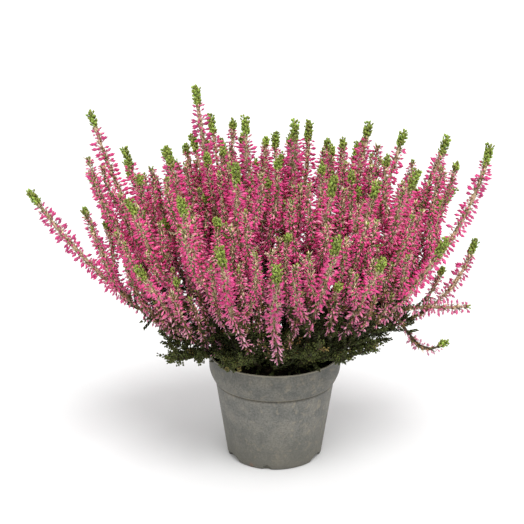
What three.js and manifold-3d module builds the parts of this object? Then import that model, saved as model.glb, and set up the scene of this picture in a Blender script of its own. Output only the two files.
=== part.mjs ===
// A potted heather: a plastic nursery pot filled with peat, flowering shoots and leafy shoots.
// Millimetres, +Z up, +X right and +Y back. The origin is the centre of the pot's underside.
import * as THREE from "three";
import Module from "manifold-3d";
import { mergeVertices } from "three/addons/utils/BufferGeometryUtils.js";

const wasm = await Module();
wasm.setup();

const { degToRad, lerp } = THREE.MathUtils;
const UP = new THREE.Vector3(0, 0, 1);
const SIXTH = Math.PI / 3;

// ---------------------------------------------------------------- driving dimensions
const POT = {
  sides: 24,
  height: 91,
  rimRadius: 55,
  lipEdge: 0.5, // the broken outer edge of the lip
  bandHeight: 24, // the rim band, down to its step
  bandStraight: 11, // the band is plumb this far down, then it curves in
  step: 0.9, // how far the band stands out over the body
  stepRise: 0.3, // the step's underside slopes up by this much
  neckRadius: 49.9, // the body just under the step
  baseRadius: 40.4,
  baseRound: 2, // the broken edge of the underside
  wall: 1.3,
  lipWall: 1.9,
  floor: 1.6,
};
// Balls that scoop the base edge: three drainage recesses and three notches that open into the pot.
const RECESS = { radius: 12.5, out: 43, up: -7, azimuths: [-29, -149, 91] };
const NOTCH = { radius: 5, out: 42.5, up: 0, azimuths: [-99, 21, 141] };
const BALL = { around: 10, down: 7 };

const PEAT = { edge: 79, crown: 83, edgeRadius: 52, rings: [1, 0.8, 0.45, 0] };
const FIT_GAP = 0.3; // between the peat and the pot, and between a stem and its hole

const STEM_RADIUS = 1.2; // corner radius of the three-sided main stem
const TWIG_RADIUS = 1.0;
// The stems leave the peat inside the disc, plumb up to the collar. A flowering shoot wants its
// root at this share of the way out to its tip, and a leafy one at the edge of the disc.
const ROOT = { depth: 9, collar: 3, disc: 36, share: 0.22 };
// A stem first runs outward, low over the rim, and then turns up: shares of its reach and rise.
const STEM = { bow: 0.46, climb: 0.11, overRim: 22, pull: 0.36, highBend: 0.5 };
const SWAY = { size: 2.2, turn: 9 }; // sideways wander, and its angle from foot to tip
const BARE_SHARE = 0.17; // of a main stem, above the peat
const FLOWER_SHARE = 0.46; // of a main stem, below its club

const BUD = { whorl: 4.4, pitch: 11, radius: 1.6, length: 6.2, spread: 0.8, nod: 2 };
const SCALE = { pitch: 12, leafyPitch: 7, out: 5, up: 5.5 };
// The light green leafy tip: its two tiers of leaves are at these shares of its length.
const CLUB = { length: 13, radius: 2, out: 1.5, up: 2.8, tiers: [0.38, 0.74], taper: 0.85 };
// The longest shoots bear one flowering side twig each, on one of the whorls from first to last.
const TWIG = { count: 30, shortest: 44, longest: 60, bare: 5, firstWhorl: 1, lastWhorl: 4 };
// Its shape in shares of its length: where its tip is, its two pulls, and how far they turn up.
const TWIG_CURVE = {
  out: 0.42,
  along: 0.8,
  tipUp: 0.4,
  footOut: 0.3,
  footUp: 0.12,
  pull: 0.35,
  pullUp: 0.6,
};
const SPRAWLING = 60; // a shoot whose tip leans further than this bears no twig

const BENDS = [0, 6, -6, 12, -12, 18, -18]; // sideways and upward bends that a stem may take
const LIFTS = [0, 8, 16];
const STEM_ROOM = 5; // it takes the first one that leaves this much room round its axis
const FORK_ROOM = 12; // a twig may come this much nearer to its own stem where it leaves it
const KEEP_CLEAR = 0.8; // a bud or leaf stays this much nearer its own stem than any other
const TRAIL_STEP = 3; // distances between axes are measured at points this far apart
const NUDGE = 0.5; // half the stretch over which an axis's heading is taken
const MERGE = 1e-4;

// Tips of the flowering shoots: right, back, up, and the lean of the tip from plumb in degrees.
const TIPS = [
  [-193, -20, 232, 34],
  [-152, 25, 236, 24],
  [-147, 10, 289, 16],
  [-126, 45, 252, 20],
  [-112, -45, 232, 18],
  [-104, -70, 186, 30],
  [-84, -20, 267, 12],
  [-63, 10, 309, 6],
  [-70, -78, 242, 16],
  [-55, 65, 276, 10],
  [-24, 0, 287, 4],
  [-40, -110, 214, 20],
  [-30, -55, 262, 10],
  [15, 0, 284, 4],
  [28, 60, 272, 8],
  [1, -122, 204, 20],
  [44, -55, 252, 12],
  [45, -98, 218, 20],
  [75, 20, 279, 10],
  [77, -45, 246, 14],
  [80, -85, 198, 24],
  [102, 10, 274, 14],
  [108, -35, 253, 16],
  [137, 10, 270, 18],
  [130, -55, 204, 26],
  [150, 45, 218, 38],
  [168, -5, 266, 8],
  [169, 38, 176, 16],
];
// The ring of tips is closed behind by this rule, every second one nearer and taller.
const BACK = {
  count: 7,
  first: 26,
  last: 154,
  out: 138,
  outSpread: 12,
  near: 0.74,
  up: 236,
  upSpread: 14,
  taller: 20,
  lean: 20,
};
// Two low shoots on the right that arch over; the rise says how high their lower part climbs. The
// first one hangs down and hooks up at its end.
const LOW = [
  { tip: [139, -28, 111], lean: 48, rise: 115, pull: 60, bow: 0.8 },
  { tip: [157, -16, 136], lean: 84, rise: 60, pull: 60 },
];
// Shoots without flowers, all round the rim; bare and end are the stretches without leaves.
const LEAFY = {
  count: 12,
  first: -170,
  turnSpread: 14,
  out: 86,
  outSpread: 20,
  wide: 1.18,
  up: 114,
  upSpread: 12,
  lean: 58,
  rise: 24,
  pull: 24,
  bare: 8,
  end: 5,
};

// A steady scatter between 0 and 1 for a pair of whole numbers.
function scatter(n, channel) {
  const wave = Math.sin(n * 12.9898 + channel * 78.233) * 43758.5453;
  return wave - Math.floor(wave);
}

function jitter(n, channel, spread) {
  return spread * (scatter(n, channel) - 0.5);
}

function polar(radius, degrees, height) {
  const angle = degToRad(degrees);
  return new THREE.Vector3(radius * Math.cos(angle), radius * Math.sin(angle), height);
}

// ---------------------------------------------------------------- cut solids
function toSolid(geometry) {
  const bare = geometry.clone();
  bare.deleteAttribute("normal");
  bare.deleteAttribute("uv");
  const merged = mergeVertices(bare, MERGE);
  const vertProperties = new Float32Array(merged.attributes.position.array);
  const triVerts = new Uint32Array(merged.index.array);
  return new wasm.Manifold(new wasm.Mesh({ numProp: 3, vertProperties, triVerts }));
}

function toGeometry(solid) {
  const mesh = solid.getMesh();
  const geometry = new THREE.BufferGeometry();
  geometry.setAttribute("position", new THREE.BufferAttribute(mesh.vertProperties, 3));
  geometry.setIndex(new THREE.BufferAttribute(mesh.triVerts, 1));
  return geometry;
}

// A turned solid about Z from [radius, height] points that start and end on the axis.
function turned(points) {
  const profile = points.map(([radius, height]) => new THREE.Vector2(radius, height));
  return toSolid(new THREE.LatheGeometry(profile, POT.sides).rotateX(Math.PI / 2));
}

function scooped(solid, scoop, grown) {
  let left = solid;
  for (const azimuth of scoop.azimuths) {
    const ball = new THREE.SphereGeometry(scoop.radius + grown, BALL.around, BALL.down);
    const { x, y, z } = polar(scoop.out, azimuth, scoop.up);
    left = left.subtract(toSolid(ball.rotateX(Math.PI / 2).translate(x, y, z)));
  }
  return left;
}

// ---------------------------------------------------------------- pot and peat
// The pot's outline from the axis up to the plumb band, inset for the inside of the wall.
function potOutline(inset, lipInset, bottom) {
  const stepHeight = POT.height - POT.bandHeight;
  const bandFoot = POT.neckRadius + POT.step;
  const plumb = POT.height - POT.bandStraight;
  const points = [
    [0, bottom],
    [POT.baseRadius - POT.baseRound - inset, bottom],
    [POT.baseRadius - inset, bottom + POT.baseRound],
    [POT.neckRadius - inset, stepHeight - POT.stepRise * inset],
    [bandFoot - inset, stepHeight + POT.stepRise],
  ];
  for (const share of [0.5, 1]) {
    const radius = lerp(bandFoot, POT.rimRadius, Math.sin((share * Math.PI) / 2));
    points.push([radius - lipInset, lerp(stepHeight, plumb, share)]);
  }
  return points;
}

function makePot() {
  const over = POT.height + 1;
  const outside = [
    ...potOutline(0, 0, 0),
    [POT.rimRadius, POT.height - POT.lipEdge],
    [POT.rimRadius - POT.lipEdge, POT.height],
    [0, POT.height],
  ];
  const inside = [
    ...potOutline(POT.wall, POT.lipWall, POT.floor),
    [POT.rimRadius - POT.lipWall, over],
    [0, over],
  ];
  const cavity = scooped(turned(inside), RECESS, POT.wall);
  const shell = scooped(turned(outside), RECESS, 0).subtract(cavity);
  return toGeometry(scooped(shell, NOTCH, 0));
}

function peatHeight(radius) {
  const share = Math.min(1, radius / PEAT.edgeRadius);
  return lerp(PEAT.edge, PEAT.crown, Math.sqrt(1 - share * share));
}

function makePeat(shoots) {
  const inset = POT.wall + FIT_GAP;
  const wall = potOutline(inset, POT.lipWall + FIT_GAP, POT.floor + FIT_GAP);
  const below = wall.filter(([, height]) => height < PEAT.edge);
  const dome = PEAT.rings.map((share) => {
    const radius = share * PEAT.edgeRadius;
    return [radius, peatHeight(radius)];
  });
  const peat = scooped(turned([...below, ...dome]), RECESS, inset);
  const holes = shoots.map((shoot) => toSolid(stemHole(shoot)));
  return toGeometry(holes.reduce((left, hole) => left.subtract(hole), peat));
}

// A blind three-sided hole round the foot of a stem.
function stemHole(shoot) {
  const corners = flatSection(shoot, 0, STEM_RADIUS + 2 * FIT_GAP);
  const outline = new THREE.Shape(corners.map(({ x, y }) => new THREE.Vector2(x, y)));
  const depth = ROOT.depth + ROOT.collar + FIT_GAP;
  const hole = new THREE.ExtrudeGeometry(outline, { depth, bevelEnabled: false });
  return hole.translate(0, 0, shoot.root.z - depth);
}

// ---------------------------------------------------------------- where the shoots stand
function backShoot(k) {
  const azimuth = lerp(BACK.first, BACK.last, k / (BACK.count - 1));
  const nearer = k % 2;
  const out = BACK.out * (nearer ? BACK.near : 1) + jitter(k, 1, BACK.outSpread);
  const up = BACK.up + BACK.taller * nearer + jitter(k, 2, BACK.upSpread);
  return { tip: polar(out, azimuth, up), lean: BACK.lean, leafy: false };
}

function leafyShoot(k) {
  const azimuth = LEAFY.first + (k * 360) / LEAFY.count + jitter(k, 3, LEAFY.turnSpread);
  const out = LEAFY.out + jitter(k, 4, LEAFY.outSpread);
  const tip = polar(out, azimuth, LEAFY.up + jitter(k, 5, LEAFY.upSpread));
  tip.x *= LEAFY.wide;
  return { tip, lean: LEAFY.lean, rise: LEAFY.rise, pull: LEAFY.pull, leafy: true };
}

function allShoots() {
  const front = TIPS.map(([x, y, z, lean]) => ({ tip: new THREE.Vector3(x, y, z), lean, leafy: false }));
  const back = Array.from({ length: BACK.count }, (_, k) => backShoot(k));
  const low = LOW.map((shoot) => ({ ...shoot, tip: new THREE.Vector3(...shoot.tip), leafy: false }));
  const leafy = Array.from({ length: LEAFY.count }, (_, k) => leafyShoot(k));
  return [...front, ...back, ...low, ...leafy];
}

// Every shoot takes the free root place nearest to the one it wants: the leafy shoots first, near
// the rim, and then the flowering ones from the outside in.
function plant(shoots) {
  const golden = Math.PI * (3 - Math.sqrt(5));
  const places = shoots.map((_, k) => {
    const radius = ROOT.disc * Math.sqrt((k + 0.5) / shoots.length);
    return new THREE.Vector3(radius * Math.cos(k * golden), radius * Math.sin(k * golden), 0);
  });
  const reach = ({ tip }) => Math.hypot(tip.x, tip.y);
  for (const shoot of [...shoots].sort((a, b) => b.leafy - a.leafy || reach(b) - reach(a))) {
    const wanted = new THREE.Vector3(shoot.tip.x, shoot.tip.y, 0);
    wanted.setLength(Math.min(ROOT.disc, reach(shoot) * (shoot.leafy ? 1 : ROOT.share)));
    places.sort((a, b) => a.distanceTo(wanted) - b.distanceTo(wanted));
    const place = places.shift();
    shoot.root = place.setZ(peatHeight(place.length()) + ROOT.collar);
    shoot.out = new THREE.Vector3(shoot.tip.x - place.x, shoot.tip.y - place.y, 0).normalize();
    shoot.side = new THREE.Vector3(-shoot.out.y, shoot.out.x, 0);
  }
}

// ---------------------------------------------------------------- axes
// A curve with one steady side direction, from which its cross-sections are turned.
function makeAxis(points, side, sway, phase) {
  const curve = new THREE.CubicBezierCurve3(...points);
  const length = curve.getLength();
  const pointAt = (distance) => {
    const share = THREE.MathUtils.clamp(distance / length, 0, 1);
    const swing = sway * Math.sin(SWAY.turn * share + phase) * Math.sin(share * Math.PI);
    return curve.getPointAt(share).addScaledVector(side, swing);
  };
  const frameAt = (distance) => {
    const from = pointAt(Math.max(0, distance - NUDGE));
    const heading = pointAt(Math.min(length, distance + NUDGE)).sub(from).normalize();
    const across = side.clone().addScaledVector(heading, -side.dot(heading)).normalize();
    return { heading, across, other: heading.clone().cross(across) };
  };
  const steps = Math.ceil(length / TRAIL_STEP);
  const trail = Array.from({ length: steps + 1 }, (_, k) => pointAt(TRAIL_STEP * k));
  return { length, pointAt, frameAt, trail };
}

function mainAxis(shoot, index, bend, lift) {
  const { root, tip, out, side } = shoot;
  const rise = tip.z - root.z;
  const reach = Math.hypot(tip.x - root.x, tip.y - root.y);
  const pull = shoot.pull ?? STEM.pull * Math.hypot(reach, rise);
  const lean = degToRad(shoot.lean);
  const bow = shoot.bow ?? STEM.bow;
  const low = root.clone().addScaledVector(out, bow * reach).addScaledVector(side, bend);
  low.z += lift + (shoot.rise ?? Math.max(STEM.overRim, STEM.climb * rise));
  const high = tip.clone().addScaledVector(out, -pull * Math.sin(lean));
  high.addScaledVector(side, STEM.highBend * bend);
  high.z -= pull * Math.cos(lean);
  return makeAxis([root, low, high, tip], side, SWAY.size, 2 * Math.PI * scatter(index, 6));
}

// The distance from a point to the nearest point of an axis's trail.
function gapTo(point, trail) {
  const nearer = (least, other) => Math.min(least, point.distanceToSquared(other));
  return Math.sqrt(trail.reduce(nearer, Infinity));
}

// Bends every stem clear of those that stand already.
function bendClear(shoots) {
  const standing = [];
  shoots.forEach((shoot, index) => {
    let best = { room: -1 };
    for (const [bend, lift] of BENDS.flatMap((side) => LIFTS.map((up) => [side, up]))) {
      const axis = mainAxis(shoot, index, bend, lift);
      const rooms = standing.map(({ trail }) => Math.min(...axis.trail.map((point) => gapTo(point, trail))));
      const room = Math.min(STEM_ROOM, ...rooms);
      if (room > best.room) {
        best = { room, axis };
      }
    }
    shoot.axis = best.axis;
    standing.push(best.axis);
  });
}

// The three corners of a cross-section.
function ringAt(centre, across, other, radius, turn) {
  return [0, 2, 4].map((sixths) => {
    const angle = turn + sixths * SIXTH;
    const corner = centre.clone().addScaledVector(across, radius * Math.cos(angle));
    return corner.addScaledVector(other, radius * Math.sin(angle));
  });
}

function flatSection(shoot, height, radius) {
  const centre = shoot.root.clone();
  centre.z += height;
  return ringAt(centre, shoot.side, UP.clone().cross(shoot.side), radius, 0);
}

// ---------------------------------------------------------------- what grows on an axis
// Rings of an axis from its foot to its club; each says what the wall below it bears.
function leafTiers(from, to, pitch) {
  const count = Math.max(1, Math.round((to - from) / pitch));
  return Array.from({ length: count }, (_, k) => ({
    at: lerp(from, to, (k + 1) / count),
    radius: STEM_RADIUS,
    bears: "scales",
  }));
}

// The lowest whorls nod, and the highest ones stand up by as much.
function budWhorls(from, to) {
  const count = Math.max(1, Math.round((to - from) / BUD.pitch));
  return Array.from({ length: count }, (_, k) => {
    const at = lerp(from, to, (k + 1) / count);
    const nod = BUD.nod * (1 - (2 * k) / count);
    return [
      { at: at - BUD.whorl, radius: BUD.radius, bears: "nothing" },
      { at, radius: BUD.radius, bears: "buds", nod },
    ];
  }).flat();
}

function clubTiers(length) {
  return CLUB.tiers.map((share, tier) => ({
    at: length - CLUB.length * (1 - share),
    radius: CLUB.radius * CLUB.taper ** tier,
    bears: "club",
  }));
}

function mainRings(shoot) {
  const { length } = shoot.axis;
  if (shoot.leafy) {
    const tiers = leafTiers(LEAFY.bare, length - LEAFY.end, SCALE.leafyPitch);
    return [{ at: LEAFY.bare, radius: STEM_RADIUS, bears: "nothing" }, ...tiers];
  }
  const bare = BARE_SHARE * length;
  const clubFoot = length - CLUB.length;
  const flowerFoot = clubFoot - FLOWER_SHARE * length;
  return [
    { at: bare, radius: STEM_RADIUS, bears: "nothing" },
    ...leafTiers(bare, flowerFoot, SCALE.pitch),
    ...budWhorls(flowerFoot, clubFoot),
    ...clubTiers(length),
  ];
}

function twigRings(axis) {
  return [
    { at: TWIG.bare, radius: TWIG_RADIUS, bears: "nothing" },
    ...budWhorls(TWIG.bare, axis.length - CLUB.length),
    ...clubTiers(axis.length),
  ];
}

// Each ring is turned a sixth from the last, so six faces lie between two rings: the even faces
// stand on the lower ring, the odd ones hang from the upper ring.
function faceOf(lower, upper, face) {
  const i = Math.floor(face / 2);
  const next = (i + 1) % 3;
  return face % 2 === 0 ? [lower[i], lower[next], upper[i]] : [upper[i], lower[next], upper[next]];
}

// ---------------------------------------------------------------- side twigs
// A twig leaves the middle of one face of a whorl and turns up beside the main stem.
function twigAxis(shoot, ring, face, index) {
  const { axis, rings } = shoot;
  const { heading, across, other } = axis.frameAt(ring.at);
  const angle = SIXTH * (rings.indexOf(ring) + 1 + face);
  const outward = across.clone().multiplyScalar(Math.cos(angle)).addScaledVector(other, Math.sin(angle));
  const at = ring.at - BUD.whorl * (face % 2 === 0 ? 2 / 3 : 1 / 3);
  const length = lerp(TWIG.shortest, TWIG.longest, scatter(index, 7));
  const foot = axis.pointAt(at).addScaledVector(outward, STEM_RADIUS / 2);
  const tip = foot.clone().addScaledVector(outward, TWIG_CURVE.out * length);
  tip.addScaledVector(heading.clone().lerp(UP, TWIG_CURVE.tipUp), TWIG_CURVE.along * length);
  const low = foot.clone().addScaledVector(outward, TWIG_CURVE.footOut * length);
  low.addScaledVector(heading, TWIG_CURVE.footUp * length);
  const high = tip.clone();
  high.addScaledVector(heading.clone().lerp(UP, TWIG_CURVE.pullUp), -TWIG_CURVE.pull * length);
  const side = outward.clone().cross(heading).normalize();
  return makeAxis([foot, low, high, tip], side, 0, 0);
}

// How far a twig stays from every other axis, with slack for its own main stem near the fork.
function twigRoom(twig, shoot, axes) {
  let room = Infinity;
  twig.trail.forEach((point, k) => {
    for (const axis of axes) {
      const slack = axis === shoot.axis ? Math.max(0, FORK_ROOM - TRAIL_STEP * k) : 0;
      room = Math.min(room, gapTo(point, axis.trail) + slack);
    }
  });
  return room;
}

// Adds the side twigs, each where it has most room, and returns the axes of everything.
function addTwigs(shoots) {
  const axes = shoots.map((shoot) => shoot.axis);
  const bearers = shoots.filter((shoot) => !shoot.leafy && shoot.lean < SPRAWLING);
  bearers.sort((a, b) => b.axis.length - a.axis.length);
  for (const [index, shoot] of bearers.slice(0, TWIG.count).entries()) {
    const whorls = shoot.rings.filter((ring) => ring.bears === "buds");
    let best = { room: 0 };
    for (const ring of whorls.slice(TWIG.firstWhorl, TWIG.lastWhorl + 1)) {
      for (let face = 0; face < 6; face += 1) {
        const axis = twigAxis(shoot, ring, face, index);
        const room = twigRoom(axis, shoot, axes);
        if (room > best.room) {
          best = { room, ring, face, axis };
        }
      }
    }
    shoot.twig = best;
    axes.push(best.axis);
  }
  return axes;
}

// ---------------------------------------------------------------- skins
// The closed skin of one shoot: rings joined by walls, with a spike on each face that bears a bud
// or a leaf.
class Skin {
  constructor(axes) {
    this.axes = axes;
    this.positions = [];
  }

  face(a, b, c) {
    this.positions.push(...a.toArray(), ...b.toArray(), ...c.toArray());
  }

  spike([a, b, c], apex) {
    this.face(a, b, apex);
    this.face(b, c, apex);
    this.face(c, a, apex);
  }

  // The apex of a spike, or nothing where another stem is too near.
  apexFor(corners, axis, at, out, lift) {
    const { heading } = axis.frameAt(at);
    const middle = corners.reduce((sum, corner) => sum.add(corner), new THREE.Vector3()).divideScalar(3);
    const outward = middle.clone().sub(axis.pointAt(at));
    outward.addScaledVector(heading, -outward.dot(heading)).normalize();
    const apex = middle.clone().addScaledVector(outward, out).addScaledVector(heading, lift);
    const own = gapTo(apex, axis.trail) + KEEP_CLEAR;
    const clear = this.axes.every((other) => other === axis || gapTo(apex, other.trail) > own);
    return clear ? apex : null;
  }

  // What a face bears under a ring: buds and club leaves on all six, larger leaves on every second.
  bornApex(corners, axis, ring, face) {
    const odd = face % 2 === 1;
    if (ring.bears === "buds") {
      const lift = (odd ? BUD.spread : -BUD.spread) - ring.nod;
      return this.apexFor(corners, axis, ring.at, BUD.length, lift);
    }
    if (ring.bears === "club") {
      return this.apexFor(corners, axis, ring.at, CLUB.out, CLUB.up);
    }
    return ring.bears === "scales" && odd ? this.apexFor(corners, axis, ring.at, SCALE.out, SCALE.up) : null;
  }

  wall(lower, upper, axis, ring, openFace) {
    for (let face = 0; face < 6; face += 1) {
      const corners = faceOf(lower, upper, face);
      const apex = face === openFace ? null : this.bornApex(corners, axis, ring, face);
      if (apex) {
        this.spike(corners, apex);
      } else if (face !== openFace) {
        this.face(...corners);
      }
    }
  }

  // Grows the rings one after another and closes the last one to a point.
  grow(start, startTurn, axis, rings, twig) {
    let lower = start;
    rings.forEach((ring, k) => {
      const { across, other } = axis.frameAt(ring.at);
      const upper = ringAt(axis.pointAt(ring.at), across, other, ring.radius, startTurn + (k + 1) * SIXTH);
      const forked = twig && twig.ring === ring;
      this.wall(lower, upper, axis, ring, forked ? twig.face : -1);
      if (forked) {
        this.fork(faceOf(lower, upper, twig.face), twig);
      }
      lower = upper;
    });
    const end = axis.pointAt(axis.length);
    for (let i = 0; i < 3; i += 1) {
      this.face(lower[i], lower[(i + 1) % 3], end);
    }
  }

  // A side twig grows out of one open face of a whorl.
  fork(corners, twig) {
    const { across, other } = twig.axis.frameAt(0);
    const from = corners[0].clone().sub(twig.axis.pointAt(0));
    const turn = Math.atan2(from.dot(other), from.dot(across));
    this.grow(corners, turn, twig.axis, twigRings(twig.axis), null);
  }

  geometry() {
    const geometry = new THREE.BufferGeometry();
    geometry.setAttribute("position", new THREE.Float32BufferAttribute(this.positions, 3));
    return mergeVertices(geometry, MERGE);
  }
}

function makeShoot(shoot, axes) {
  const skin = new Skin(axes);
  const foot = flatSection(shoot, -ROOT.depth - ROOT.collar, STEM_RADIUS);
  const collar = flatSection(shoot, 0, STEM_RADIUS);
  skin.face(foot[2], foot[1], foot[0]);
  for (let face = 0; face < 6; face += 1) {
    skin.face(...faceOf(foot, collar, face));
  }
  skin.grow(collar, 0, shoot.axis, shoot.rings, shoot.twig);
  return skin.geometry();
}

// ---------------------------------------------------------------- the whole plant
function material(color, roughness) {
  return new THREE.MeshStandardMaterial({ color, roughness, metalness: 0 });
}

function named(name, geometry, finish) {
  const mesh = new THREE.Mesh(geometry, finish);
  mesh.name = name;
  return mesh;
}

const shoots = allShoots();
plant(shoots);
bendClear(shoots);
for (const shoot of shoots) {
  shoot.rings = mainRings(shoot);
}
const axes = addTwigs(shoots);

const plastic = material(0x7f7d72, 0.75);
const peatFinish = material(0x1d1712, 1);
const flowering = material(0xb8366f, 0.6);
const foliage = material(0x3d4f28, 0.65);

const group = new THREE.Group();
group.add(named("pot", makePot(), plastic));
group.add(named("peat", makePeat(shoots), peatFinish));
const counts = { leafy: 0, flowering: 0 };
for (const shoot of shoots) {
  const kind = shoot.leafy ? "leafy" : "flowering";
  counts[kind] += 1;
  const number = String(counts[kind]).padStart(2, "0");
  group.add(named(`${kind}_shoot_${number}`, makeShoot(shoot, axes), shoot.leafy ? foliage : flowering));
}

export default group;
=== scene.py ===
import math
from types import SimpleNamespace as Values

import bpy
import numpy as np
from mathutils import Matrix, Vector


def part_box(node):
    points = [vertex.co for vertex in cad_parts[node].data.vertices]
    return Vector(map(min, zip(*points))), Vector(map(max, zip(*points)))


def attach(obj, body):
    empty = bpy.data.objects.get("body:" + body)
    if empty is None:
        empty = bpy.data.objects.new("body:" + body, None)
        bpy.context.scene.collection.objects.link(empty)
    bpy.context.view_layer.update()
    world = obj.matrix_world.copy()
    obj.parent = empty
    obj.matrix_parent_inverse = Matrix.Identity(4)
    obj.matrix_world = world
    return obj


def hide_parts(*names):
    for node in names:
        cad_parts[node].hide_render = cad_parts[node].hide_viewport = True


# The looks of a potted heather round its packed frame. Lengths are in millimetres until a mesh is
# made, +Z up, +X right and +Y back, with the origin at the centre of the pot's underside.
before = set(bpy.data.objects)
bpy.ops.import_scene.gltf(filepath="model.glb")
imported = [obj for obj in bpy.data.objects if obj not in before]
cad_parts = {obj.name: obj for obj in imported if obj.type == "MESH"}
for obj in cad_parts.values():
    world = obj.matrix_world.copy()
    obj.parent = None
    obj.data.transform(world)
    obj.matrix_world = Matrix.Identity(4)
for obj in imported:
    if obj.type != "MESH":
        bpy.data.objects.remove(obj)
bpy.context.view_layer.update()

MM = 0.001
UP = np.array([0.0, 0.0, 1.0])
TURN = 2 * math.pi
SIXTH = math.pi / 3
GOLDEN = math.pi * (3 - math.sqrt(5))
SEED = 7

# ---- the layout, as in the solids
POT_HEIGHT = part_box("pot")[1].z / MM
RIM_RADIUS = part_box("pot")[1].x / MM

PEAT = Values(edge=79, crown=83, edge_radius=52)  # its height at the wall and in the middle
# Roots stand inside the disc. A flowering shoot wants its own at this share of the way to its tip.
ROOT = Values(collar=3, disc=36, share=0.22)
# A stem first runs outward, low over the rim, and then turns up: shares of its reach and rise.
STEM = Values(bow=0.46, climb=0.11, over_rim=22, pull=0.36, high_bend=0.5)
STEM_RADIUS = 1.2
SWAY = Values(size=2.2, turn=9)  # sideways wander, and its angle from foot to tip
BARE_SHARE = 0.17  # of a main stem, above the peat
FLOWER_SHARE = 0.46  # of a main stem, below its light green tip
TIER_PITCH = 12
WHORL = Values(height=4.4, pitch=11)
TIP_LENGTH = 13
TWIG = Values(count=30, shortest=44, longest=60, first_whorl=1, last_whorl=4)
TWIG_CURVE = Values(out=0.42, along=0.8, tip_up=0.4, foot_out=0.3, foot_up=0.12, pull=0.35, pull_up=0.6)
SPRAWLING = 60  # a shoot whose tip leans further than this bears no twig

BENDS = (0, 6, -6, 12, -12, 18, -18)  # sideways and upward bends that a stem may take
LIFTS = (0, 8, 16)
STEM_ROOM = 5  # it takes the first one that leaves this much room round its axis
FORK_ROOM = 12  # a twig may come this much nearer to its own stem where it leaves it
TRAIL_STEP = 3  # distances between axes are measured at points this far apart
NUDGE = 0.5  # half the stretch over which an axis's heading is taken
DIVISIONS = 200  # chords by which a curve's length is measured

# Tips of the flowering shoots: right, back, up, and the lean of the tip from plumb in degrees.
TIPS = (
    (-193, -20, 232, 34), (-152, 25, 236, 24), (-147, 10, 289, 16), (-126, 45, 252, 20),
    (-112, -45, 232, 18), (-104, -70, 186, 30), (-84, -20, 267, 12), (-63, 10, 309, 6),
    (-70, -78, 242, 16), (-55, 65, 276, 10), (-24, 0, 287, 4), (-40, -110, 214, 20),
    (-30, -55, 262, 10), (15, 0, 284, 4), (28, 60, 272, 8), (1, -122, 204, 20),
    (44, -55, 252, 12), (45, -98, 218, 20), (75, 20, 279, 10), (77, -45, 246, 14),
    (80, -85, 198, 24), (102, 10, 274, 14), (108, -35, 253, 16), (137, 10, 270, 18),
    (130, -55, 204, 26), (150, 45, 218, 38), (168, -5, 266, 8), (169, 38, 176, 16),
)
# The ring of tips is closed behind by this rule, every second one nearer and taller.
BACK = Values(
    count=7, first=26, last=154, out=138, out_spread=12, near=0.74, up=236, up_spread=14, taller=20, lean=20
)
# Two low shoots on the right: one hangs over and turns up at its end, and one lies out sideways.
LOW = (
    {"tip": (139, -28, 111), "lean": 48, "rise": 115, "pull": 60, "bow": 0.8, "club": 9},
    {"tip": (157, -16, 136), "lean": 84, "rise": 60, "pull": 60, "club": 4},
)
# The shoots without flowers lie over the rim, all round.
LEAFY = Values(
    count=12, first=-170, turn_spread=14, out=86, out_spread=20, wide=1.18, up=114, up_spread=12,
    lean=58, rise=24, pull=24, bare=8,
)
SCATTER = Values(step=12.9898, channel=78.233, size=43758.5453)


def scatter(n, channel):
    """A steady scatter between 0 and 1 for a whole number. Every use of it has its own channel."""
    wave = math.sin(n * SCATTER.step + channel * SCATTER.channel) * SCATTER.size
    return wave - math.floor(wave)


def jitter(n, channel, spread):
    return spread * (scatter(n, channel) - 0.5)


def lerp(a, b, share):
    return a + (b - a) * share


def unit(vectors):
    return vectors / np.linalg.norm(vectors, axis=-1, keepdims=True)


def swung(start, end, angle):
    """The direction at an angle from one direction towards another."""
    return start * np.cos(angle) + end * np.sin(angle)


def ring_angles(sides):
    return TURN * np.arange(sides) / sides


def polar(radius, degrees, height):
    angle = math.radians(degrees)
    return np.array([radius * math.cos(angle), radius * math.sin(angle), height])


def peat_height(radius):
    share = np.minimum(1, radius / PEAT.edge_radius)
    return lerp(PEAT.edge, PEAT.crown, np.sqrt(1 - share * share))


def new_shoot(tip, lean, leafy=False, rise=None, pull=None, bow=None, club=None):
    tip = np.array(tip, float)
    return Values(tip=tip, lean=lean, leafy=leafy, rise=rise, pull=pull, bow=bow, club=club, twigs=[])


def back_shoot(k):
    azimuth = lerp(BACK.first, BACK.last, k / (BACK.count - 1))
    nearer = k % 2
    out = BACK.out * (BACK.near if nearer else 1) + jitter(k, 1, BACK.out_spread)
    up = BACK.up + BACK.taller * nearer + jitter(k, 2, BACK.up_spread)
    return new_shoot(polar(out, azimuth, up), BACK.lean)


def leafy_shoot(k):
    azimuth = LEAFY.first + k * 360 / LEAFY.count + jitter(k, 3, LEAFY.turn_spread)
    out = LEAFY.out + jitter(k, 4, LEAFY.out_spread)
    tip = polar(out, azimuth, LEAFY.up + jitter(k, 5, LEAFY.up_spread))
    tip[0] *= LEAFY.wide
    return new_shoot(tip, LEAFY.lean, True, LEAFY.rise, LEAFY.pull)


def all_shoots():
    shoots = [new_shoot((x, y, z), lean) for x, y, z, lean in TIPS]
    shoots += [back_shoot(k) for k in range(BACK.count)]
    shoots += [new_shoot(**low) for low in LOW]
    return shoots + [leafy_shoot(k) for k in range(LEAFY.count)]


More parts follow.
